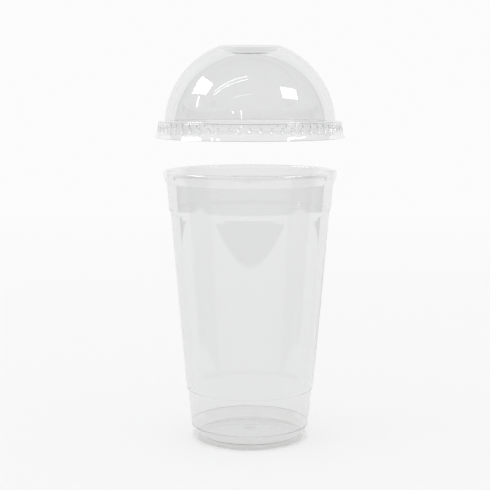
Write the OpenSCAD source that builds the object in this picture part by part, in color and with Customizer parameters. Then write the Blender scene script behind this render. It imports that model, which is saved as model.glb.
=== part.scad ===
// Clear plastic cold-drink cup with a rolled rim, and its domed lid that grips the rim.
// The origin is the centre of the foot, on the surface the cup stands on, with +Z up.
// The lid is drawn lifted off, straight above its seat on the rim.

/* [Cup] */
// Diameter over the rolled rim
rim_d = 98; // [94:0.5:104]
// Height from the table to the top of the rim
cup_h = 154; // [135:1:175]
// Diameter over the foot
foot_d = 65.8; // [60:0.2:72]
// Thickness of the formed wall
cup_wall = 0.3; // [0.25:0.05:0.6]

/* [Rolled rim] */
// Width of the roll, from the drinking side to its outer face
roll_w = 2.4; // [2:0.1:3]
// Height of the roll's upright outer face, with its rounded top
roll_h = 4.3; // [3.5:0.1:5.5]
// How far the lower half of the outer face leans in
roll_lean = 0.4; // [0.1:0.05:0.6]
// How far the drinking side of the roll leans in over the neck
roll_in = 0.3; // [0:0.05:0.5]
// Height of the tail that turns back in under the roll
tail_h = 2.5; // [1.5:0.1:3.5]
// Gap between the end of the tail and the neck
tail_gap = 0.15; // [0.1:0.05:0.3]

/* [Neck and shoulder] */
// Height of the neck under the roll's tail, down to the shoulder
neck_h = 14.6; // [10:0.2:20]
// How far the neck is drawn in on its way down
neck_draft = 1.2; // [0.5:0.1:2]
// Height of the shoulder that stops a nested cup
shoulder_h = 4.6; // [3:0.1:7]
// How far the shoulder steps in
shoulder_in = 1.2; // [0.8:0.1:2]

/* [Body] */
// Height of the upper step above the table
step_z = 29.5; // [22:0.5:38]
// How far the wall steps in under it, half of it as a level ledge
step_in = 1.1; // [0.6:0.1:1.8]
// Height of the slant under that ledge
step_h = 1.8; // [0.8:0.1:3]
// Diameter of the lower wall at the lower step
plinth_d = 67.5; // [62:0.1:74]
// Height of the lower step above the table
ledge_z = 8.2; // [6.5:0.1:11]

/* [Foot and base] */
// Diameter of the foot's neck under the lower step
ankle_d = 65; // [59:0.2:71]
// Height of the foot's neck above the table
ankle_z = 5.2; // [4:0.1:6]
// Width of the level ledge under the lower step
ledge_w = 0.6; // [0.3:0.05:0.8]
// Width of the ring that the cup stands on
ring_w = 1.6; // [1.3:0.1:4]
// Height of the raised base at its edge
base_z = 2.4; // [2:0.1:4]
// How far the riser of the raised base leans in
riser_draft = 1; // [0.6:0.1:1.5]
// Height at which the riser starts to bend out into the ring
cove_z = 1; // [0.8:0.1:1.4]
// How much higher the raised base is at its centre
base_crown = 1.6; // [0.5:0.1:2]
// Diameter of the small dimple at the centre of the base
dimple_d = 7.6; // [4:0.2:12]
// Depth of the dimple
dimple_h = 0.5; // [0.2:0.05:0.8]

/* [Lid] */
// Thickness of the formed lid
lid_wall = 0.3; // [0.25:0.05:0.5]
// Height of the dome above the flange, to the corner at its crest
dome_h = 42.1; // [34:0.1:50]
// Width of the flat flange from the foot of the dome to the skirt
flange_w = 3.5; // [2.5:0.1:5]
// Height of the skirt under the top of the flange
skirt_h = 8.9; // [8:0.1:12]
// How far the skirt leans out before its lip
skirt_lean = 0.8; // [0.3:0.05:1.2]
// Height of the flared lip at the end of the skirt
lip_h = 2; // [1.2:0.1:3]
// How far the lip flares out
lip_flare = 1.1; // [0.6:0.05:2]
// How far the lid is lifted above its seat
lid_lift = 27; // [12:0.5:40]

/* [Lid top] */
// Diameter of the crest around the sunken top
crest_d = 33.4; // [30:0.2:38]
// Diameter of the sunken top where its wall ends
dish_d = 28.4; // [26:0.2:29]
// Depth of the sunken top's wall
dish_wall_h = 3; // [2:0.1:4.5]
// How much deeper the sunken top is at the edge of the straw hole
dish_fall = 1; // [0.5:0.1:2]
// Diameter of the straw hole
straw_d = 20; // [14:0.5:21]

/* [Snap ribs] */
// Number of ribs around the skirt
rib_count = 56; // [40:1:64]
// Depth of a rib's dent at its flat top
rib_depth = 1.75; // [1.2:0.05:2]
// Width of a rib's dent at its flat top
rib_w = 3.2; // [2.4:0.1:4]
// Height of a rib, from its flat top to its point
rib_h = 3.4; // [2.8:0.1:4]
// Distance of the rib tops under the top of the flange
rib_drop = 2.8; // [2.5:0.1:3.4]
// Clearance between the ribs and the rim
rim_clear = 0.15; // [0.1:0.05:0.3]
// Gap between the seated flange and the top of the rim
seat_gap = 0.1; // [0.05:0.05:0.2]

/* [Hidden] */
$fn = 120;

// Fillets of the cup's outer skin
roll_fillet = 0.8;
bend_fillet = 1.4;
wall_fillet = 0.4;
crease_fillet = 0.4;
step_fillet = 0.6;
slant_fillet = 2;
foot_fillet = 1.2;
ring_fillet = 0.4;
cove_fillet = 1.2;
dimple_fillet = 0.3;

// Fillets of the lid's outer skin
crest_fillet = 1.2;
dish_fillet = 2.2;
root_fillet = 0.7;
knee_fillet = 0.9;
lip_fillet = 2.5;

// Degrees between the points of a fillet and of the dome
fillet_step = 12;
dome_step = 3;

// How far a cutting shape reaches past the wall that it cuts
cut_over = 2;

// Radii and heights of the cup's outer skin
rim_r = rim_d / 2;
foot_r = foot_d / 2;
roll_r = rim_r - cup_wall;
roll_z = cup_h - cup_wall;
drink_r = rim_r - roll_w + cup_wall;
neck_r = drink_r + roll_in;
bend_z = cup_h - roll_h;
roll_mid_z = (cup_h + bend_z) / 2;
tail_z = bend_z - tail_h;
neck_z = tail_z - neck_h;
shoulder_z = neck_z - shoulder_h;
shoulder_r = neck_r - neck_draft - shoulder_in;
plinth_r = plinth_d / 2;
wall_slope = (shoulder_r - plinth_r - step_in) / (shoulder_z - ledge_z);
plinth_top_z = step_z - step_h;
plinth_top_r = plinth_r + (plinth_top_z - ledge_z) * wall_slope;
ring_r = foot_r - foot_fillet;
ring_in_r = ring_r - ring_w;
base_r = ring_in_r - riser_draft;
base_mid_z = base_z + base_crown;

// Outer skin of the cup as [radius, height, fillet] corners, from the base's centre to the roll's tail
cup_skin = [
    [0, base_mid_z + dimple_h, 0],
    [dimple_d / 2 - dimple_h, base_mid_z + dimple_h, dimple_fillet],
    [dimple_d / 2, base_mid_z, dimple_fillet],
    [base_r, base_z, crease_fillet],
    [base_r + riser_draft / 5, cove_z, cove_fillet],
    [ring_in_r, 0, ring_fillet],
    [ring_r, 0, foot_fillet],
    [foot_r, foot_fillet, foot_fillet],
    [ankle_d / 2, ankle_z, foot_fillet],
    [plinth_r - ledge_w, ledge_z, step_fillet],
    [plinth_r, ledge_z, crease_fillet],
    [plinth_top_r, plinth_top_z, slant_fillet],
    [plinth_top_r + step_in / 2, step_z, step_fillet],
    [plinth_top_r + step_in, step_z, crease_fillet],
    [shoulder_r, shoulder_z, wall_fillet],
    [neck_r - neck_draft, neck_z, wall_fillet],
    [neck_r, tail_z, wall_fillet],
    [drink_r, roll_z, roll_fillet],
    [roll_r, roll_z, roll_fillet],
    [roll_r, roll_mid_z, bend_fillet],
    [roll_r - roll_lean, bend_z, bend_fillet],
    [neck_r + tail_gap, tail_z, 0]
];

// A rib's dent is a V-shaped groove, and the wall behind it keeps its thickness
rib_reach = rib_depth * (1 + lid_wall / rib_h);
rib_half_angle = atan(rib_w / 2 / rib_depth);
keel_wall = lid_wall / sin(rib_half_angle);

// Radii of the lid's outer skin, with heights from the top of the flange
skirt_r = rim_r + rim_clear + keel_wall + rib_reach;
root_r = skirt_r - flange_w;
crest_r = crest_d / 2;
lip_z = lip_h - skirt_h;
flange_z = cup_h + seat_gap + lid_wall + lid_lift;

// The dome is a part of a sphere through the foot of the dome and the crest
dome_centre_z = (crest_r ^ 2 + dome_h ^ 2 - root_r ^ 2) / (2 * dome_h);
dome_r = norm([root_r, dome_centre_z]);
dome_from = atan2(dome_h - dome_centre_z, crest_r);
dome_to = atan2(-dome_centre_z, root_r);
dome_points = round((dome_from - dome_to) / dome_step);

// Outer skin of the lid as [radius, height, fillet] corners, from the straw hole to the lip
lid_skin = concat(
    [
        [straw_d / 2, dome_h - dish_wall_h - dish_fall, 0],
        [dish_d / 2, dome_h - dish_wall_h, dish_fillet],
        [crest_r, dome_h, crest_fillet]
    ],
    [for (i = [1:dome_points - 1]) dome_point(dome_from + (dome_to - dome_from) * i / dome_points)],
    [
        [root_r, 0, root_fillet],
        [skirt_r, 0, knee_fillet],
        [skirt_r + skirt_lean, lip_z, lip_fillet],
        [skirt_r + skirt_lean + lip_flare, -skirt_h, 0]
    ]
);
function dome_point(a) = [dome_r * cos(a), dome_centre_z + dome_r * sin(a), 0];

// Outlines: unit vector from a to b, a vector turned left, and the cross product of two
function along(a, b) = (b - a) / norm(b - a);
function left_of(v) = [-v[1], v[0]];
function crossed(a, b) = a[0] * b[1] - a[1] * b[0];
function point(corner) = [corner[0], corner[1]];
function reversed(list) = [for (k = [len(list) - 1:-1:0]) list[k]];

// Directions of an open outline into and out of corner k
function way_in(path, k) = along(point(path[max(k, 1) - 1]), point(path[max(k, 1)]));
function way_out(path, k) = way_in(path, min(k + 1, len(path) - 1));

// Copy of an outline at a distance to its left, with every fillet kept concentric
function beside(path, gap) = [for (k = [0:len(path) - 1]) moved_corner(path, k, gap)];
function moved_corner(path, k, gap) =
    let (a = way_in(path, k), b = way_out(path, k))
    let (p = point(path[k]) + gap * (left_of(a) + left_of(b)) / (1 + a * b))
    [p[0], p[1], max(path[k][2] + (crossed(a, b) > 0 ? -gap : gap), 0)];

// Points of the fillet at corner k, its radius limited by the two sides that meet there
function fillet(path, k) =
    let (p = point(path[k]), a = way_in(path, k), b = way_out(path, k))
    let (swing = atan2(crossed(a, b), a * b), side = sign(swing))
    let (room = 0.48 * min(norm(p - point(path[k - 1])), norm(p - point(path[k + 1]))))
    let (pull = max(tan(abs(swing) / 2), 0.001), r = min(path[k][2], room / pull))
    let (centre = p - a * r * pull + left_of(a) * r * side)
    let (steps = max(ceil(abs(swing) / fillet_step), 1))
    r < 0.01 ? [p] :
    [for (i = [0:steps]) let (t = swing * i / steps)
        centre + r * side * [a[0] * sin(t) + a[1] * cos(t), a[1] * sin(t) - a[0] * cos(t)]];

// An open outline of corners as points, with its fillets
function rounded(path) = [
    point(path[0]),
    for (k = [1:len(path) - 2]) each fillet(path, k),
    point(path[len(path) - 1])
];

// Section of a wall between an outline and its copy beside it
function wall_section(path, gap) = concat(rounded(path), reversed(rounded(beside(path, gap))));

// V-shaped prisms around the skirt, their keels rising inwards from its face, cut flat at top_z
// and bounded by a cone that leans as the skirt does, of radius outer_r at the top of the flange
module rib_wedges(inward, top_z, outer_r) {
    foot_z = -rib_drop - rib_h;
    low_z = foot_z - cut_over;
    foot_out = skirt_lean * foot_z / lip_z;
    tilt = atan((rib_depth + foot_out) / rib_h);
    out = rib_depth + cut_over;
    half_w = out * rib_w / 2 / rib_depth / cos(tilt);
    intersection() {
        for (i = [0:rib_count - 1])
            rotate([0, 0, 360 * i / rib_count - 90])
                translate([skirt_r + foot_out - inward, 0, foot_z])
                    rotate([0, -tilt, 0])
                        translate([0, 0, -lid_wall])
                            linear_extrude(2 * rib_h)
                                polygon([[0, 0], [out, -half_w], [out, half_w]]);
        translate([0, 0, low_z])
            cylinder(
                h = top_z - low_z,
                r1 = outer_r + skirt_lean * low_z / lip_z,
                r2 = outer_r + skirt_lean * top_z / lip_z
            );
    }
}

module cup() {
    color([0.90, 0.92, 0.92, 0.35])
        rotate_extrude()
            polygon(wall_section(cup_skin, cup_wall));
}

module dome_lid() {
    color([0.90, 0.92, 0.92, 0.35])
        translate([0, 0, flange_z])
            difference() {
                union() {
                    rotate_extrude()
                        polygon(wall_section(lid_skin, -lid_wall));
                    rib_wedges(keel_wall, lid_wall - rib_drop, skirt_r - lid_wall / 2);
                }
                rib_wedges(0, -rib_drop, skirt_r + cut_over);
            }
}

cup();
dome_lid();
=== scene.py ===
"""A clear cold-drink cup and its domed lid, lifted off, on a white table in soft studio light."""

import logging
import math
from dataclasses import dataclass
from enum import Enum
from typing import Sequence, Union

import bmesh
import bpy
import numpy as np
from mathutils import Matrix, Vector


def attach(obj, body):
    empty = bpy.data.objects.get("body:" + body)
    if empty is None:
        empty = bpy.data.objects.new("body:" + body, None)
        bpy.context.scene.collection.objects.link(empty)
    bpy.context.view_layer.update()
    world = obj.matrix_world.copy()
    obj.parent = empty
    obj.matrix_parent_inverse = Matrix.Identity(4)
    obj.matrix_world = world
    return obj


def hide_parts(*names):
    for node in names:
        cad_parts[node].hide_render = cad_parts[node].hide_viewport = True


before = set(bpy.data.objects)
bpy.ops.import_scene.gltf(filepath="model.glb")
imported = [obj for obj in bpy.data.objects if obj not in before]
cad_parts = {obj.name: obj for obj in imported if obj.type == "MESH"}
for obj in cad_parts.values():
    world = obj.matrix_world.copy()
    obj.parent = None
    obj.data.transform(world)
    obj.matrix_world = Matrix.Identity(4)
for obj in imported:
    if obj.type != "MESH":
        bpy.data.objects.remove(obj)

log = logging.getLogger("cup_with_lid")

Corner = tuple[float, float, float]
Span = tuple[float, float]
Colour = tuple[float, float, float, float]
Tree = bpy.types.NodeTree
Socket = bpy.types.NodeSocket
Value = Union[float, Colour, Socket]

MM = 0.001

# Lengths in millimetres under which a point lies on the axis and a vector has no direction
ON_AXIS = 1e-6
NO_LENGTH = 1e-9

# A count of bounces above this is at least one
ANY_BOUNCE = 0.5


class Side(Enum):
    """The side of an outline on which the wall's thickness lies, seen along the outline."""

    LEFT = 1.0
    RIGHT = -1.0


class Blend(Enum):
    """What a Mix node blends: its data type, and the places of its two inputs and its output."""

    NUMBER = ("FLOAT", 2, 3, 0)
    COLOUR = ("RGBA", 6, 7, 2)


def feed(tree: Tree, socket: Socket, value: Value) -> None:
    """Gives a node's input its value.

    Args:
        tree: The node tree.
        socket: The input.
        value: A number or colour to set, or a socket to link.
    """
    if isinstance(value, bpy.types.NodeSocket):
        tree.links.new(value, socket)
    else:
        socket.default_value = value


def add_math(tree: Tree, kind: str, *values: Value) -> Socket:
    """Adds a Math node.

    Args:
        tree: The node tree.
        kind: The node's operation.
        values: Numbers or sockets for its inputs, in order.

    Returns:
        Its output.
    """
    node = tree.nodes.new("ShaderNodeMath")
    node.operation = kind
    for socket, value in zip(node.inputs, values):
        feed(tree, socket, value)
    return node.outputs[0]


def add_mix(tree: Tree, kind: Blend, share: Socket, low: Value, high: Value) -> Socket:
    """Adds a Mix node.

    Args:
        tree: The node tree.
        kind: What it blends.
        share: How much of the second value is taken, from 0 to 1.
        low: The value at 0.
        high: The value at 1.

    Returns:
        Its output.
    """
    data_type, low_place, high_place, out_place = kind.value
    node = tree.nodes.new("ShaderNodeMix")
    node.data_type = data_type
    for place, value in ((0, share), (low_place, low), (high_place, high)):
        feed(tree, node.inputs[place], value)
    return node.outputs[out_place]


def add_ramp(tree: Tree, value: Socket, ends: Span, levels: Span = (0.0, 1.0), eased: bool = False) -> Socket:
    """Adds a Map Range node, which holds its levels beyond the ends.

    Args:
        tree: The node tree.
        value: The value to map.
        ends: The values at which the ramp starts and ends.
        levels: What it gives at these ends.
        eased: Whether the ramp starts and ends smoothly.

    Returns:
        Its output.
    """
    node = tree.nodes.new("ShaderNodeMapRange")
    if eased:
        node.interpolation_type = "SMOOTHSTEP"
    tree.links.new(value, node.inputs["Value"])
    for name, level in zip(("From Min", "From Max", "To Min", "To Max"), (*ends, *levels)):
        node.inputs[name].default_value = level
    return node.outputs[0]


def add_shader_mix(tree: Tree, share: Socket, first: Socket, second: Socket) -> Socket:
    """Adds a Mix Shader node.

    Args:
        tree: The node tree.
        share: How much of the second shader is taken, from 0 to 1.
        first: The shader at 0.
        second: The shader at 1.

    Returns:
        Its output.
    """
    node = tree.nodes.new("ShaderNodeMixShader")
    for socket, value in zip(node.inputs, (share, first, second)):
        tree.links.new(value, socket)
    return node.outputs[0]


@dataclass(frozen=True)
class Outline:
    """A drawn section of formed sheet: corners of radius, height and fillet, in millimetres.

    The points of a fillet lie arc_step degrees apart, and it takes up to side_share of a side. A point
    at the distance of the shoulder on either side of it keeps the walls straight in smooth shading.
    """

    corners: Sequence[Corner]
    arc_step: float = 6.0
    shoulder: float = 0.45
    side_share: float = 0.48
    least_fillet: float = 0.02
    least_gap: float = 1e-3
    least_pull: float = 1e-3

    def points(self) -> np.ndarray:
        """The outline with every corner rounded.

        Returns:
            Rows of radius and height, in millimetres.
        """
        rows = [self.corners[0][:2]]
        for k in range(1, len(self.corners) - 1):
            rows.extend(self._rounded(k))
        rows.append(self.corners[-1][:2])
        kept = [np.array(rows[0], float)]
        for row in rows[1:]:
            if np.linalg.norm(np.array(row) - kept[-1]) > self.least_gap:
                kept.append(np.array(row, float))
        return np.array(kept)

    def _rounded(self, k: int) -> list[np.ndarray]:
        """Points of the fillet at one corner, with the shoulder points beside it where there is room.

        Args:
            k: The corner's place in the outline.

        Returns:
            The points, in the order in which the outline meets them.
        """
        before, here, after = (np.array(self.corners[i][:2], float) for i in (k - 1, k, k + 1))
        room_in, room_out = np.linalg.norm(here - before), np.linalg.norm(after - here)
        way_in, way_out = (here - before) / room_in, (after - here) / room_out
        cross = way_in[0] * way_out[1] - way_in[1] * way_out[0]
        swing = math.atan2(cross, way_in @ way_out)
        pull = max(math.tan(abs(swing) / 2), self.least_pull)
        radius = min(self.corners[k][2], self.side_share * min(room_in, room_out) / pull)
        if radius < self.least_fillet:
            return [here]
        side = math.copysign(1.0, swing)
        start, end = here - way_in * radius * pull, here + way_out * radius * pull
        centre = start + np.array([-way_in[1], way_in[0]]) * radius * side
        steps = max(math.ceil(math.degrees(abs(swing)) / self.arc_step), 2)
        spoke = start - centre
        found = []
        for turn in np.linspace(0.0, swing, steps + 1):
            c, s = math.cos(turn), math.sin(turn)
            found.append(centre + np.array([spoke[0] * c - spoke[1] * s, spoke[0] * s + spoke[1] * c]))
        if room_in / 2 - radius * pull > self.shoulder:
            found.insert(0, start - way_in * self.shoulder)
        if room_out / 2 - radius * pull > self.shoulder:
            found.append(end + way_out * self.shoulder)
        return found


@dataclass(frozen=True)
class SnapRibs:
    """V-shaped dents in the lid's skirt, flat on top and pointed below, in millimetres.

    The drop is how far their tops lie under the top of the flange. The softness rounds their edges, and
    a share of it the keel. The bite is taken off their depth, so that the skirt between them stays as it
    is. They fade in over roof_fade at the top and out over foot_fade below.
    """

    count: int = 56
    depth: float = 1.75
    width: float = 3.2
    height: float = 3.4
    drop: float = 2.8
    softness: float = 0.42
    keel_share: float = 0.6
    bite: float = 0.02
    roof_rise: float = 0.3
    roof_fade: float = 0.8
    foot_room: float = 0.7
    foot_fade: float = 0.5

    @staticmethod
    def _eased(share: np.ndarray) -> np.ndarray:
        """A smooth step from 0 to 1."""
        held = np.clip(share, 0.0, 1.0)
        return held**2 * (3.0 - 2.0 * held)

    def dent(self, along: np.ndarray, height: np.ndarray, lean: float) -> np.ndarray:
        """How far the skirt is pushed in.

        Args:
            along: Distance round the skirt from the middle of a rib.
            height: Height, from the top of the flange.
            lean: How far the skirt leans out at the foot of a rib.

        Returns:
            The depth of the dent at each place.
        """
        above_foot = height + self.drop + self.height
        rise = above_foot / self.height
        keel = (self.depth + lean) * rise - lean * np.clip(rise, 0.0, 1.0)
        rounded = np.sqrt(along**2 + (self.keel_share * self.softness) ** 2)
        inside = keel - rounded * 2.0 * self.depth / self.width
        deep = 0.5 * (inside + np.sqrt(inside**2 + self.softness**2)) - self.bite
        roof = self._eased((self.roof_rise - self.drop - height) / self.roof_fade)
        foot = self._eased((above_foot + self.foot_room) / self.foot_fade)
        return np.clip(deep, 0.0, None) * roof * foot


class RingOfSectors:
    """Geometry Nodes that repeat one sector of a formed piece around its axis."""

    SECTORS = "Sectors"
    FINISH = "Finish"
    MERGE_GAP = 2e-6
    SHARP_ANGLE = math.radians(50.0)

    def __init__(self) -> None:
        """Builds the node tree."""
        self.tree = bpy.data.node_groups.new("ring_of_sectors", "GeometryNodeTree")
        self.sockets: dict[str, str] = {}
        interface = self.tree.interface
        interface.new_socket("Geometry", in_out="INPUT", socket_type="NodeSocketGeometry")
        for name, kind in ((self.SECTORS, "NodeSocketInt"), (self.FINISH, "NodeSocketMaterial")):
            self.sockets[name] = interface.new_socket(name, in_out="INPUT", socket_type=kind).identifier
        interface.new_socket("Geometry", in_out="OUTPUT", socket_type="NodeSocketGeometry")
        nodes, links = self.tree.nodes, self.tree.links
        given = nodes.new("NodeGroupInput")
        points = nodes.new("GeometryNodePoints")
        index = nodes.new("GeometryNodeInputIndex")
        angles = nodes.new("ShaderNodeCombineXYZ")
        instances = nodes.new("GeometryNodeInstanceOnPoints")
        realized = nodes.new("GeometryNodeRealizeInstances")
        painted = nodes.new("GeometryNodeSetMaterial")
        result = nodes.new("NodeGroupOutput")
        share = add_math(self.tree, "DIVIDE", index.outputs[0], given.outputs[self.SECTORS])
        links.new(given.outputs[self.SECTORS], points.inputs["Count"])
        links.new(add_math(self.tree, "MULTIPLY", share, math.tau), angles.inputs["Z"])
        links.new(points.outputs[0], instances.inputs["Points"])
        links.new(given.outputs["Geometry"], instances.inputs["Instance"])
        links.new(angles.outputs[0], instances.inputs["Rotation"])
        links.new(instances.outputs[0], realized.inputs["Geometry"])
        links.new(realized.outputs[0], painted.inputs["Geometry"])
        links.new(given.outputs[self.FINISH], painted.inputs["Material"])
        links.new(painted.outputs[0], result.inputs["Geometry"])

    def repeat(self, sector: bpy.types.Mesh, name: str, count: int,
               finish: bpy.types.Material) -> bpy.types.Object:
        """Turns one sector into the whole piece, as a plain mesh.

        Args:
            sector: The mesh of one sector, centred on the -Y direction.
            name: Name of the piece.
            count: How many sectors make the full turn.
            finish: The material of the piece.

        Returns:
            The finished object, at the origin.
        """
        source = bpy.data.objects.new(f"{name}_sector", sector)
        bpy.context.scene.collection.objects.link(source)
        modifier = source.modifiers.new("ring", "NODES")
        modifier.node_group = self.tree
        modifier[self.sockets[self.SECTORS]] = count
        modifier[self.sockets[self.FINISH]] = finish
        source.update_tag()
        graph = bpy.context.evaluated_depsgraph_get()
        whole = bpy.data.meshes.new_from_object(source.evaluated_get(graph), depsgraph=graph)
        source.modifiers.remove(modifier)
        bpy.data.objects.remove(source)
        shape = bmesh.new()
        shape.from_mesh(whole)
        bmesh.ops.remove_doubles(shape, verts=shape.verts, dist=self.MERGE_GAP)
        if shape.calc_volume(signed=True) < 0:
            bmesh.ops.reverse_faces(shape, faces=shape.faces)
        shape.to_mesh(whole)
        open_edges = sum(1 for edge in shape.edges if len(edge.link_faces) != 2)
        log.info("%s: %.0f mm3, %d open edges", name, shape.calc_volume(signed=True) / MM**3, open_edges)
        shape.free()
        whole.name = name
        whole.set_sharp_from_angle(angle=self.SHARP_ANGLE)
        made = bpy.data.objects.new(name, whole)
        bpy.context.scene.collection.objects.link(made)
        return made


@dataclass
class FormedSector:
    """One sector of a thin formed wall, made from rings of its drawn skin, in millimetres."""

    wall: float
    side: Side
    count: int

    def rings(self, skin: np.ndarray, columns: int, ribs: SnapRibs | None = None, lean: float = 0.0,
              base: float = 0.0) -> tuple[np.ndarray, np.ndarray]:
        """Points on both faces of the wall, with the ribs' dents pressed in.

        Args:
            skin: Rows of radius and height of the drawn skin, in millimetres.
            columns: How many faces wide the sector is.
            ribs: The dents, or None for a plain wall.
            lean: How far the skirt leans out at the foot of a rib.
            base: Height that the ribs are measured from.

        Returns:
            The drawn skin and the other face, each of rings by columns by three.
        """
        half = math.pi / self.count
        turns = np.linspace(-half, half, columns + 1)
        step = turns[1] - turns[0]
        turns = np.concatenate([[turns[0] - step], turns, [turns[-1] + step]])
        radius = np.repeat(skin[:, :1], len(turns), axis=1)
        height = np.repeat(skin[:, 1:2], len(turns), axis=1)
        if ribs is not None:
            wrapped = (turns + half) % (2.0 * half) - half
            radius = radius - ribs.dent(radius * wrapped[None, :], height - base, lean)
        face = np.stack([radius * np.sin(turns), -radius * np.cos(turns), height], axis=2)
        along = np.gradient(face, axis=0)
        across = np.zeros_like(face)
        across[:, 1:-1] = face[:, 2:] - face[:, :-2]
        normal = np.cross(along, across)[:, 1:-1]
        face = face[:, 1:-1]
        length = np.linalg.norm(normal, axis=2, keepdims=True)
        upright = np.zeros_like(normal)
        upright[..., 2] = 1.0
        normal = np.where(length > NO_LENGTH, normal / np.maximum(length, NO_LENGTH), upright)
        if radius[0].max() < ON_AXIS:
            normal[0] = upright[0] * np.sign(normal[1, :, 2:3])
        return face, face + normal * self.wall * self.side.value

    def mesh(self, name: str, parts: Sequence[tuple[np.ndarray, np.ndarray]]) -> bpy.types.Mesh:
        """Joins the faces of the wall into one closed sector.

        Args:
            name: Name of the mesh.
            parts: The two faces of each stretch of wall, in order along the outline.

        Returns:
            The sector's mesh, in metres.
        """
        loop = [ring for skin, _ in parts for ring in skin]
        loop += [ring for _, other in reversed(parts) for ring in other[::-1]]
        starts, points, faces = [], [], []
        for ring in loop:
            starts.append(len(points))
            points.extend((ring * MM).tolist())
        closed = np.hypot(loop[0][0][0], loop[0][0][1]) > ON_AXIS
        for k in range(len(loop) if closed else len(loop) - 1):
            n = (k + 1) % len(loop)
            faces.extend(self._stitched(starts[k], len(loop[k]) - 1, starts[n], len(loop[n]) - 1))
        made = bpy.data.meshes.new(name)
        made.from_pydata(points, [], faces)
        made.validate()
        made.polygons.foreach_set("use_smooth", [True] * len(made.polygons))
        return made

    @staticmethod
    def _stitched(a: int, cells_a: int, b: int, cells_b: int) -> list[list[int]]:
        """Faces between two rings, one of which may be cut more finely.

        Args:
            a: Index of the first ring's first point.
            cells_a: How many cells the first ring has.
            b: Index of the second ring's first point.
            cells_b: How many cells the second ring has.

        Returns:
            The faces, as lists of point indices.
        """
        cells = min(cells_a, cells_b)
        fine_a, fine_b = cells_a // cells, cells_b // cells
        faces = []
        for i in range(cells):
            low = [a + i * fine_a + j for j in range(fine_a + 1)]
            high = [b + i * fine_b + j for j in range(fine_b + 1)]
            faces.append(low + high[::-1])
        return faces


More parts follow.
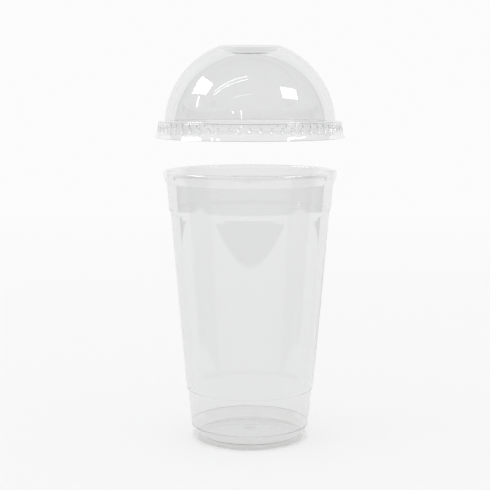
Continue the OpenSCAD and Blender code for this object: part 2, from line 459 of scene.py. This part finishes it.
@dataclass(frozen=True)
class ClearPlastic:
    """Clear formed sheet: its tint through one wall, its gloss and the faint unevenness of forming, with painted
    light in the roll of the rim and painted shade in the ribs, the foot and where it is seen edge-on.

    The zones are heights and the reaches radii in millimetres, with the lid lifted as at rest.
    """

    name: str = "clear_plastic"
    tint: Colour = (0.914, 0.916, 0.916, 1.0)
    # Painted shade: the tint turns towards this grey where the sheet is seen edge-on, for dark outlines
    edge: Colour = (0.5, 0.5, 0.5, 1.0)
    edge_sharpness: float = 9.0
    index: float = 1.57
    haze: float = 0.012
    haze_scale: float = 38.0
    haze_detail: float = 1.0
    shadow: Colour = (0.88, 0.88, 0.88, 1.0)
    # Painted light: the roll of the rim gets a lighter tint than the rest of the wall
    roll_painted_light: Colour = (0.955, 0.955, 0.955, 1.0)
    roll_light_zone: Span = (147.1, 154.5)
    # Painted shade: the dents of the ribs get a darker tint
    rib_painted_shade: Colour = (0.82, 0.82, 0.82, 1.0)
    rib_shade_zone: Span = (174.9, 178.7)
    rib_shade_reach: Span = (51.5, 50.3)
    # Painted shade: the ankle and the outer foot get darker tints, for the dark foot and its contact shadow
    ankle_painted_shade: Colour = (0.888, 0.886, 0.884, 1.0)
    ankle_shade_zone: Span = (4.9, 8.1)
    foot_painted_shade: Colour = (0.875, 0.872, 0.87, 1.0)
    foot_shade_zone: Span = (-1.0, 4.9)
    foot_shade_in_r: float = 28.9

    @staticmethod
    def _band(tree: Tree, height: Socket, zone: Span) -> Socket:
        """A socket that is 1 between two heights in millimetres."""
        above = add_math(tree, "GREATER_THAN", height, zone[0] * MM)
        return add_math(tree, "MULTIPLY", above, add_math(tree, "LESS_THAN", height, zone[1] * MM))

    def _tint_and_painted_light(self, tree: Tree, place: Socket) -> Socket:
        """The tint of one wall, lighter in the roll of the rim by painted light, darker in the foot and in the
        ribs by painted shade.

        Args:
            tree: The node tree.
            place: The object's coordinates.

        Returns:
            The tint.
        """
        split = tree.nodes.new("ShaderNodeSeparateXYZ")
        tree.links.new(place, split.inputs[0])
        x, y, height = split.outputs
        squares = [add_math(tree, "MULTIPLY", way, way) for way in (x, y)]
        radius = add_math(tree, "SQRT", add_math(tree, "ADD", *squares))
        pressed_in = add_ramp(tree, radius, (self.rib_shade_reach[0] * MM, self.rib_shade_reach[1] * MM))
        outer = add_math(tree, "GREATER_THAN", radius, self.foot_shade_in_r * MM)
        # Painted light in the roll, then painted shade in the ribs, the ankle and the foot
        tint = add_mix(tree, Blend.COLOUR, self._band(tree, height, self.roll_light_zone), self.tint, self.roll_painted_light)
        for within, zone, colour in (
            (pressed_in, self.rib_shade_zone, self.rib_painted_shade),
            (outer, self.ankle_shade_zone, self.ankle_painted_shade),
            (outer, self.foot_shade_zone, self.foot_painted_shade),
        ):
            share = add_math(tree, "MULTIPLY", within, self._band(tree, height, zone))
            tint = add_mix(tree, Blend.COLOUR, share, tint, colour)
        return tint

    def material(self) -> bpy.types.Material:
        """Builds the shader.

        Returns:
            The material.
        """
        made = bpy.data.materials.new(self.name)
        made.use_nodes = True
        tree = made.node_tree
        nodes, links = tree.nodes, tree.links
        nodes.clear()
        place = nodes.new("ShaderNodeTexCoord").outputs["Object"]
        uneven = nodes.new("ShaderNodeTexNoise")
        uneven.inputs["Scale"].default_value = self.haze_scale
        uneven.inputs["Detail"].default_value = self.haze_detail
        links.new(place, uneven.inputs["Vector"])
        gloss = add_ramp(tree, uneven.outputs[0], (0.0, 1.0), (0.0, self.haze))
        slant = nodes.new("ShaderNodeLayerWeight").outputs["Facing"]
        narrow = add_math(tree, "POWER", slant, self.edge_sharpness)
        wall = nodes.new("ShaderNodeBsdfPrincipled")
        wall.inputs["IOR"].default_value = self.index
        wall.inputs["Transmission Weight"].default_value = 1.0
        # Painted shade at grazing view, over the tint with its painted light and shade by zone
        colour = add_mix(tree, Blend.COLOUR, narrow, self._tint_and_painted_light(tree, place), self.edge)
        links.new(colour, wall.inputs["Base Color"])
        links.new(gloss, wall.inputs["Roughness"])
        shade = nodes.new("ShaderNodeBsdfTransparent")
        shade.inputs["Color"].default_value = self.shadow
        in_shadow = nodes.new("ShaderNodeLightPath").outputs["Is Shadow Ray"]
        out = nodes.new("ShaderNodeOutputMaterial")
        links.new(add_shader_mix(tree, in_shadow, wall.outputs[0], shade.outputs[0]), out.inputs["Surface"])
        return made


@dataclass
class Cup:
    """The cup: rolled rim, neck, shoulder, tapered body, two steps and a raised base, in millimetres.

    Sizes that the part's source has too bear its names. The foot's edge, the lower ledge, the dimple and
    the bend half way up the shoulder are softer or narrower here.
    """

    rim_d: float = 98.0
    cup_h: float = 154.0
    foot_d: float = 65.8
    wall: float = 0.3
    roll_w: float = 2.4
    roll_h: float = 4.3
    roll_lean: float = 0.4
    roll_in: float = 0.3
    tail_h: float = 2.5
    tail_gap: float = 0.15
    neck_h: float = 14.6
    neck_draft: float = 1.2
    shoulder_h: float = 4.6
    shoulder_in: float = 1.2
    shoulder_bend: float = 0.25
    step_z: float = 29.5
    step_in: float = 1.1
    step_h: float = 1.8
    plinth_d: float = 67.5
    ledge_z: float = 8.2
    ledge_w: float = 0.16
    ankle_d: float = 65.0
    ankle_z: float = 5.2
    ring_w: float = 1.6
    base_z: float = 2.4
    riser_draft: float = 1.0
    cove_z: float = 1.0
    cove_share: float = 0.2
    base_crown: float = 1.6
    dimple_d: float = 7.6
    dimple_h: float = 0.5
    dimple_slope: float = 1.1
    roll_fillet: float = 0.8
    bend_fillet: float = 1.4
    shoulder_fillet: float = 3.0
    wall_fillet: float = 0.4
    crease_fillet: float = 0.4
    step_fillet: float = 0.6
    slant_fillet: float = 2.0
    foot_fillet: float = 1.2
    foot_edge: float = 0.7
    ring_fillet: float = 0.4
    cove_fillet: float = 1.2
    dimple_fillet: float = 0.7
    sectors: int = 56
    columns: int = 4

    def skin(self) -> Outline:
        """The section of the wall's outer skin.

        Returns:
            The outline, from the middle of the base to the tail of the roll.
        """
        roll_r = self.rim_d / 2 - self.wall
        roll_z = self.cup_h - self.wall
        drink_r = self.rim_d / 2 - self.roll_w + self.wall
        neck_r = drink_r + self.roll_in
        bend_z = self.cup_h - self.roll_h
        tail_z = bend_z - self.tail_h
        neck_z = tail_z - self.neck_h
        shoulder_z = neck_z - self.shoulder_h
        shoulder_r = neck_r - self.neck_draft - self.shoulder_in
        plinth_r = self.plinth_d / 2
        slope = (shoulder_r - plinth_r - self.step_in) / (shoulder_z - self.ledge_z)
        plinth_top_z = self.step_z - self.step_h
        plinth_top_r = plinth_r + (plinth_top_z - self.ledge_z) * slope
        foot_r = self.foot_d / 2
        ring_in_r = foot_r - self.foot_fillet - self.ring_w
        base_r = ring_in_r - self.riser_draft
        base_mid_z = self.base_z + self.base_crown
        return Outline([
            (0.0, base_mid_z + self.dimple_h, 0.0),
            (self.dimple_d / 2 - self.dimple_slope, base_mid_z + self.dimple_h, self.dimple_fillet),
            (self.dimple_d / 2, base_mid_z, self.dimple_fillet),
            (base_r, self.base_z, self.crease_fillet),
            (base_r + self.riser_draft * self.cove_share, self.cove_z, self.cove_fillet),
            (ring_in_r, 0.0, self.ring_fillet),
            (foot_r - self.foot_edge, 0.0, self.foot_edge),
            (foot_r, self.foot_edge, self.foot_edge),
            (self.ankle_d / 2, self.ankle_z, self.foot_fillet),
            (plinth_r - self.ledge_w, self.ledge_z, self.step_fillet),
            (plinth_r, self.ledge_z, self.crease_fillet),
            (plinth_top_r, plinth_top_z, self.slant_fillet),
            (plinth_top_r + self.step_in, self.step_z, self.step_fillet),
            (shoulder_r, shoulder_z, self.wall_fillet),
            (shoulder_r + self.shoulder_bend, (shoulder_z + neck_z) / 2, self.shoulder_fillet),
            (neck_r - self.neck_draft, neck_z, self.wall_fillet),
            (neck_r, tail_z, self.wall_fillet),
            (drink_r, roll_z, self.roll_fillet),
            (roll_r, roll_z, self.roll_fillet),
            (roll_r, (self.cup_h + bend_z) / 2, self.bend_fillet),
            (roll_r - self.roll_lean, bend_z, self.bend_fillet),
            (neck_r + self.tail_gap, tail_z, 0.0),
        ])

    def build(self, ring: RingOfSectors, finish: bpy.types.Material) -> bpy.types.Object:
        """Makes the cup as one closed wall.

        Args:
            ring: The nodes that repeat a sector.
            finish: The clear plastic.

        Returns:
            The cup, riding on its body in place of its plain solid.
        """
        sector = FormedSector(self.wall, Side.LEFT, self.sectors)
        skin = sector.rings(self.skin().points(), self.columns)
        made = ring.repeat(sector.mesh("cup_sector", [skin]), "clear_cup", self.sectors, finish)
        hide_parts("cup")
        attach(made, "cup")
        return made


@dataclass
class DomeLid:
    """The lid: sunken top with a straw hole, dome, flange and ribbed skirt, in millimetres.

    It takes its skirt and its place from the cup. The dome has a point every dome_step degrees. The knee
    is the bend from flange to skirt, and the seam the strip of flange that joins the two parts of the
    wall. The skirt_rings are the distances under the flange at which the ribs need points, as from, to
    and how many.
    """

    cup: Cup
    wall: float = 0.3
    dome_h: float = 42.1
    flange_w: float = 3.5
    skirt_h: float = 8.9
    skirt_lean: float = 0.8
    lip_h: float = 2.0
    lip_flare: float = 1.1
    lid_lift: float = 27.0
    crest_d: float = 33.4
    crest_dip: float = 0.03
    dish_d: float = 28.4
    dish_wall_h: float = 3.0
    dish_fall: float = 1.0
    straw_d: float = 20.0
    rim_clear: float = 0.15
    seat_gap: float = 0.1
    crest_fillet: float = 1.2
    dish_fillet: float = 2.2
    root_fillet: float = 0.7
    knee_fillet: float = 0.9
    lip_fillet: float = 2.5
    dome_step: float = 2.0
    skirt_arc_step: float = 12.0
    seam_w: float = 0.4
    knee_end: float = 0.95
    knee_room: float = 1.5
    skirt_rings: Sequence[tuple[float, float, int]] = ((2.3, 3.4, 10), (3.6, 6.9, 15), (7.2, 8.6, 5))
    columns: int = 4
    rib_columns: int = 12
    ribs: SnapRibs = SnapRibs()

    @property
    def flange_z(self) -> float:
        """Height of the top of the flange."""
        return self.cup.cup_h + self.seat_gap + self.wall + self.lid_lift

    @property
    def skirt_r(self) -> float:
        """Radius of the skirt where it leaves the flange.

        Returns:
            The radius at which the ribs, with their wall, stay clear of the rim.
        """
        half_angle = math.atan(self.ribs.width / 2 / self.ribs.depth)
        reach = self.ribs.depth * (1 + self.wall / self.ribs.height)
        return self.cup.rim_d / 2 + self.rim_clear + self.wall / math.sin(half_angle) + reach

    def dome_skin(self) -> Outline:
        """The section of the outer skin of the lid's upper part.

        Returns:
            The outline, from the straw hole to the middle of the flange.
        """
        root_r = self.skirt_r - self.flange_w
        crest_r = self.crest_d / 2
        centre_z = (crest_r**2 + self.dome_h**2 - root_r**2) / (2 * self.dome_h)
        dome_r = math.hypot(root_r, centre_z)
        start = math.degrees(math.atan2(self.dome_h - centre_z, crest_r))
        end = math.degrees(math.atan2(-centre_z, root_r))
        steps = round((start - end) / self.dome_step)
        turns = [math.radians(start + (end - start) * i / steps) for i in range(1, steps)]
        corners = [
            (self.straw_d / 2, self.dome_h - self.dish_wall_h - self.dish_fall, 0.0),
            (self.dish_d / 2, self.dome_h - self.dish_wall_h, self.dish_fillet),
            (crest_r, self.dome_h - self.crest_dip, self.crest_fillet),
            *[(dome_r * math.cos(t), centre_z + dome_r * math.sin(t), 0.0) for t in turns],
            (root_r, 0.0, self.root_fillet),
            (root_r + self.flange_w / 2, 0.0, 0.0),
        ]
        return Outline([(r, z + self.flange_z, f) for r, z, f in corners])

    def skirt_skin(self) -> np.ndarray:
        """The section of the outer skin from the flange to the lip, with enough points for the ribs.

        Returns:
            Rows of radius and height, in millimetres.
        """
        lean_r = self.skirt_r + self.skirt_lean
        rows = Outline([
            (self.skirt_r - self.flange_w / 2 + self.seam_w, self.flange_z, 0.0),
            (self.skirt_r, self.flange_z, self.knee_fillet),
            (lean_r, self.flange_z + self.lip_h - self.skirt_h, self.lip_fillet),
            (lean_r + self.lip_flare, self.flange_z - self.skirt_h, 0.0),
        ], arc_step=self.skirt_arc_step).points()
        heights = self.flange_z - np.concatenate([np.linspace(*span) for span in self.skirt_rings])
        falling = rows[rows[:, 1] < self.flange_z - self.knee_end]
        radii = np.interp(-heights, -falling[:, 1], falling[:, 0])
        above = rows[rows[:, 1] > self.flange_z - self.knee_room]
        return np.concatenate([above, np.stack([radii, heights], axis=1), rows[-1:]])

    def build(self, ring: RingOfSectors, finish: bpy.types.Material) -> bpy.types.Object:
        """Makes the lid as one closed wall, with its ribs.

        Args:
            ring: The nodes that repeat a sector.
            finish: The clear plastic.

        Returns:
            The lid, riding on its body in place of its plain solid.
        """
        sector = FormedSector(self.wall, Side.RIGHT, self.ribs.count)
        foot_lean = self.skirt_lean * (self.ribs.drop + self.ribs.height) / (self.skirt_h - self.lip_h)
        dome = sector.rings(self.dome_skin().points(), self.columns)
        skirt = sector.rings(self.skirt_skin(), self.rib_columns, self.ribs, foot_lean, self.flange_z)
        made = ring.repeat(sector.mesh("lid_sector", [dome, skirt]), "clear_dome_lid", self.ribs.count, finish)
        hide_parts("dome_lid")
        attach(made, "lid")
        return made


@dataclass(frozen=True)
class Strip:
    """A rectangular lamp that runs from one direction to another, both as azimuth and elevation.

    Its distance from the object and its width are in metres.
    """

    name: str
    start: Span
    end: Span
    distance: float
    width: float
    radiance: float
    on_table: bool = False

    @staticmethod
    def toward(azimuth: float, elevation: float) -> Vector:
        """Unit vector of a direction, 0 degrees being towards the viewer and + to the right."""
        a, e = math.radians(azimuth), math.radians(elevation)
        return Vector((math.sin(a) * math.cos(e), -math.cos(a) * math.cos(e), math.sin(e)))

    def hang(self, target: Vector) -> None:
        """Puts the lamp in the scene, facing the object.

        Args:
            target: The point that it faces.
        """
        start, end = (target + self.toward(*way) * self.distance for way in (self.start, self.end))
        middle = (start + end) / 2
        back = (middle - target).normalized()
        along = (end - start).normalized()
        across = back.cross(along).normalized()
        lamp = bpy.data.lights.new(self.name, "AREA")
        lamp.shape = "RECTANGLE"
        lamp.size, lamp.size_y = (end - start).length, self.width
        lamp.energy = self.radiance * math.pi * lamp.size * lamp.size_y
        made = bpy.data.objects.new(self.name, lamp)
        turned = Matrix((across.cross(back), across, back)).transposed()
        made.matrix_world = Matrix.Translation(middle) @ turned.to_4x4()
        made.visible_transmission = False
        made.visible_camera = False
        made.visible_diffuse = self.on_table
        made.visible_glossy = not self.on_table
        bpy.context.scene.collection.objects.link(made)


@dataclass(frozen=True)
class Pane:
    """A lit window of the room: its corners as azimuth and elevation, clockwise, and its radiance."""

    corners: Sequence[Span]
    radiance: float = 9.0

    def edges(self) -> list[Vector]:
        """Normals of the planes through the viewer's place and each side, pointing into the pane."""
        ways = [Strip.toward(*corner) for corner in self.corners]
        return [after.cross(here).normalized() for here, after in zip(ways, ways[1:] + ways[:1])]


@dataclass(frozen=True)
class Viewpoint:
    """The photograph's camera, fitted to the rings of the cup: millimetres, metres and degrees."""

    lens: float = 89.65
    sensor: float = 36.0
    place: Corner = (-0.0028, -0.6892, 0.2018)
    look_down: float = 7.49
    clip: Span = (0.01, 100.0)

    def set_up(self) -> None:
        """Puts the camera in the scene."""
        data = bpy.data.cameras.new("view")
        data.sensor_width = self.sensor
        data.lens = self.lens
        data.clip_start, data.clip_end = self.clip
        made = bpy.data.objects.new("view", data)
        made.location = self.place
        made.rotation_euler = (math.radians(90.0 - self.look_down), 0.0, 0.0)
        bpy.context.scene.collection.objects.link(made)
        bpy.context.scene.camera = made


@dataclass
class Studio:
    """White table and backdrop, a dim room in front of them, and the lamps.

    Values that end in inside hold for what the far wall of a piece mirrors, seen through its near wall.
    Spans of degrees are half angles, lengths are in metres, and levels are radiances with white at 1.
    """

    floor_grey: float = 0.93
    backdrop: float = 0.968
    room: float = 0.30
    ground: float = 0.20
    aside_inside: float = 0.46
    window: float = 0.85
    window_half_angle: float = 60.0
    window_top: float = 10.0
    table_half: Span = (0.62, 0.362)
    table_half_inside: Span = (0.50, 0.13)
    table_power: float = 3.0
    edge_softness: float = 0.02
    plane_half: float = 6.0
    spread: Span = (60.0, 66.0)
    spread_inside: float = 77.0
    diffuse_light: float = 1.0
    fade: Span = (0.25, 1.3)
    wall_bounces: float = 2.5
    pane_bounces: float = 5.5
    most_bounces: int = 24
    most_mirrored: int = 12
    lamp_target: Corner = (0.0, 0.0, 0.19)
    panes: Sequence[Pane] = (
        Pane(((-111.9, 43.7), (-76.1, 48.2), (-74.2, 35.0), (-101.1, 28.7))),
        Pane(((58.2, 48.7), (82.8, 38.7), (75.9, 28.5), (52.5, 35.3))),
        Pane(((-86.6, 30.8), (-84.0, 31.0), (-79.8, 20.0), (-81.8, 19.8))),
        Pane(((-27.0, 39.6), (4.8, 45.0), (4.8, 44.0), (-26.0, 38.6)), 2.0),
        Pane(((-25.0, 20.6), (-22.6, 20.6), (-22.6, 18.6), (-25.0, 18.6))),
        Pane(((-14.2, 23.0), (-12.0, 23.0), (-10.3, 10.3), (-11.1, 10.3)), 4.0),
    )
    strips: Sequence[Strip] = (
        Strip("ceiling_near", (-60.0, 37.0), (-5.0, 65.0), distance=2.0, width=0.05, radiance=6.0),
        Strip("ceiling_far", (-62.0, 41.0), (-7.0, 70.0), distance=2.0, width=0.05, radiance=6.0),
        Strip("key", (-100.0, 35.0), (-50.0, 35.0), distance=2.5, width=1.2, radiance=0.25, on_table=True),
    )

    @staticmethod
    def _path(tree: Tree, fact: str) -> Socket:
        """A fact of the light's path, such as how often it has bounced."""
        return tree.nodes.new("ShaderNodeLightPath").outputs[fact]

    def _through(self, tree: Tree) -> Socket:
        """A socket that is 1 on paths that no surface has reflected."""
        bounced = add_math(tree, "ADD", self._path(tree, "Glossy Depth"), self._path(tree, "Diffuse Depth"))
        return add_math(tree, "LESS_THAN", bounced, ANY_BOUNCE)

    def _in_front(self, tree: Tree, x: Socket, y: Socket) -> Socket:
        """A socket that is 1 in the sector in front of the object, where the light wall stands."""
        width = add_math(tree, "MULTIPLY", y, -math.tan(math.radians(self.window_half_angle)))
        return add_math(tree, "LESS_THAN", add_math(tree, "ABSOLUTE", x), width)

    def _inside(self, tree: Tree) -> Socket:
        """A socket that is 1 where the far wall of a piece mirrors the room through its near wall."""
        return add_math(tree, "GREATER_THAN", self._path(tree, "Transmission Depth"), self.wall_bounces)

    def _choose(self, tree: Tree, direct: float, inside: float) -> Socket:
        """A value for what the near wall mirrors and another for what the far wall does."""
        return add_math(tree, "MULTIPLY_ADD", self._inside(tree), inside - direct, direct)

    def _aside(self, tree: Tree) -> Socket:
        """The slope, in plan, of the backdrop's side borders."""
        direct, inside = (1.0 / math.tan(math.radians(angle)) for angle in (self.spread[0], self.spread_inside))
        return self._choose(tree, direct, inside)

    def _ahead(self, tree: Tree, way: Socket, y: Socket) -> Socket:
        """Where the backdrop stands.

        Args:
            tree: The node tree.
            way: The direction that is looked in.
            y: Its part away from the viewer.

        Returns:
            A socket that is 1 within an oval cone around that part.
        """
        factor = tree.nodes.new("ShaderNodeCombineXYZ")
        tree.links.new(self._aside(tree), factor.inputs["X"])
        factor.inputs["Z"].default_value = 1.0 / math.tan(math.radians(self.spread[1]))
        squeeze = tree.nodes.new("ShaderNodeVectorMath")
        squeeze.operation = "MULTIPLY"
        tree.links.new(way, squeeze.inputs[0])
        tree.links.new(factor.outputs[0], squeeze.inputs[1])
        reach = tree.nodes.new("ShaderNodeVectorMath")
        reach.operation = "LENGTH"
        tree.links.new(squeeze.outputs["Vector"], reach.inputs[0])
        return add_math(tree, "LESS_THAN", reach.outputs["Value"], y)

    def _lit(self, tree: Tree, way: Socket, early: Socket, pane: Pane, room: Socket) -> Socket:
        """Adds a lit pane to the room.

        Args:
            tree: The node tree.
            way: The direction that is looked in.
            early: A socket that is 1 on paths with few bounces.
            pane: The pane.
            room: The radiance without it.

        Returns:
            The radiance with it.
        """
        within = None
        for normal in pane.edges():
            side = tree.nodes.new("ShaderNodeVectorMath")
            side.operation = "DOT_PRODUCT"
            side.inputs[1].default_value = normal
            tree.links.new(way, side.inputs[0])
            reach = side.outputs["Value"]
            within = reach if within is None else add_math(tree, "MINIMUM", within, reach)
        shown = add_math(tree, "MULTIPLY", early, add_math(tree, "GREATER_THAN", within, 0.0))
        return add_mix(tree, Blend.NUMBER, shown, room, pane.radiance)

    def world(self) -> None:
        """Lights the scene: white straight through, a backdrop and a dim room in reflections."""
        made = bpy.data.worlds.new("studio")
        bpy.context.scene.world = made
        made.use_nodes = True
        tree = made.node_tree
        tree.nodes.clear()
        way = tree.nodes.new("ShaderNodeTexCoord").outputs["Generated"]
        split = tree.nodes.new("ShaderNodeSeparateXYZ")
        tree.links.new(way, split.inputs[0])
        x, y, z = split.outputs
        low = add_math(tree, "LESS_THAN", z, math.sin(math.radians(self.window_top)))
        bright = add_math(tree, "MULTIPLY", self._in_front(tree, x, y), low)
        dim = self._choose(tree, self.room, self.aside_inside)
        room = add_mix(tree, Blend.NUMBER, bright, dim, self.window)
        early = add_math(tree, "LESS_THAN", self._path(tree, "Ray Depth"), self.pane_bounces)
        for pane in self.panes:
            room = self._lit(tree, way, early, pane, room)
        studio = add_mix(tree, Blend.NUMBER, self._ahead(tree, way, y), room, self.backdrop)
        soft = add_math(tree, "GREATER_THAN", self._path(tree, "Diffuse Depth"), ANY_BOUNCE)
        lit = add_mix(tree, Blend.NUMBER, soft, studio, self.diffuse_light)
        final = add_mix(tree, Blend.NUMBER, self._through(tree), lit, self.backdrop)
        sky = tree.nodes.new("ShaderNodeBackground")
        sky.inputs["Color"].default_value = (1.0, 1.0, 1.0, 1.0)
        tree.links.new(final, sky.inputs["Strength"])
        out = tree.nodes.new("ShaderNodeOutputWorld")
        tree.links.new(sky.outputs[0], out.inputs["Surface"])

    def _mirrored(self, tree: Tree, x: Socket, y: Socket) -> Socket:
        """The level of the table in reflections: white up to its rounded edge, dark in front of it.

        Args:
            tree: The node tree.
            x: Distance to the right of the object.
            y: Distance behind the object.

        Returns:
            The level.
        """
        powers = []
        for way, half, half_inside in zip((x, y), self.table_half, self.table_half_inside):
            share = add_math(tree, "DIVIDE", way, self._choose(tree, half, half_inside))
            powers.append(add_math(tree, "POWER", add_math(tree, "ABSOLUTE", share), self.table_power))
        reach = add_math(tree, "POWER", add_math(tree, "ADD", *powers), 1.0 / self.table_power)
        beyond = add_ramp(tree, reach, (1.0 - self.edge_softness, 1.0 + self.edge_softness))
        border = add_math(tree, "MULTIPLY", add_math(tree, "ABSOLUTE", x), self._aside(tree))
        behind = add_math(tree, "GREATER_THAN", y, border)
        dark = add_math(tree, "MULTIPLY", beyond, add_math(tree, "SUBTRACT", 1.0, behind))
        far = add_math(tree, "MULTIPLY", self._in_front(tree, x, y), self._inside(tree))
        ground = add_mix(tree, Blend.NUMBER, far, self._choose(tree, self.ground, self.aside_inside), self.window)
        return add_mix(tree, Blend.NUMBER, dark, self.floor_grey, ground)

    def table(self) -> None:
        """Makes the white table, whose front edge shows only in reflections."""
        made = bpy.data.materials.new("white_table")
        made.use_nodes = True
        tree = made.node_tree
        nodes, links = tree.nodes, tree.links
        nodes.clear()
        white = nodes.new("ShaderNodeBsdfDiffuse")
        white.inputs["Color"].default_value = (self.floor_grey, self.floor_grey, self.floor_grey, 1.0)
        split = nodes.new("ShaderNodeSeparateXYZ")
        links.new(nodes.new("ShaderNodeTexCoord").outputs["Object"], split.inputs[0])
        x, y, _ = split.outputs
        mirrored = nodes.new("ShaderNodeEmission")
        links.new(self._mirrored(tree, x, y), mirrored.inputs["Strength"])
        clear = nodes.new("ShaderNodeEmission")
        clear.inputs["Strength"].default_value = self.backdrop
        glossy = add_math(tree, "GREATER_THAN", self._path(tree, "Glossy Depth"), ANY_BOUNCE)
        seen = add_shader_mix(tree, glossy, white.outputs[0], mirrored.outputs[0])
        far = add_ramp(tree, y, self.fade, eased=True)
        out = nodes.new("ShaderNodeOutputMaterial")
        links.new(add_shader_mix(tree, far, seen, clear.outputs[0]), out.inputs["Surface"])
        plane = bpy.data.meshes.new("table")
        half = self.plane_half
        corners = [(-half, -half, 0), (half, -half, 0), (half, half, 0), (-half, half, 0)]
        plane.from_pydata(corners, [], [(0, 1, 2, 3)])
        plane.materials.append(made)
        floor = bpy.data.objects.new("table", plane)
        bpy.context.scene.collection.objects.link(floor)

    def build(self) -> None:
        """Sets up everything around the object."""
        self.world()
        self.table()
        for strip in self.strips:
            strip.hang(Vector(self.lamp_target))
        scene = bpy.context.scene
        scene.view_settings.view_transform = "Standard"
        scene.cycles.max_bounces = self.most_bounces
        scene.cycles.transmission_bounces = self.most_bounces
        scene.cycles.glossy_bounces = self.most_mirrored
        scene.cycles.transparent_max_bounces = self.most_bounces
        scene.cycles.blur_glossy = 0.0


def main() -> None:
    """Builds the object and its studio."""
    logging.basicConfig(level=logging.INFO, format="%(message)s")
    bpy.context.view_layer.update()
    plastic = ClearPlastic().material()
    ring = RingOfSectors()
    cup = Cup()
    for piece in (cup, DomeLid(cup)):
        made = piece.build(ring, plastic)
        triangles = sum(len(face.vertices) - 2 for face in made.data.polygons)
        log.info("%s: %d triangles", made.name, triangles)
    Studio().build()
    Viewpoint().set_up()


if __name__ == "__main__":
    main()
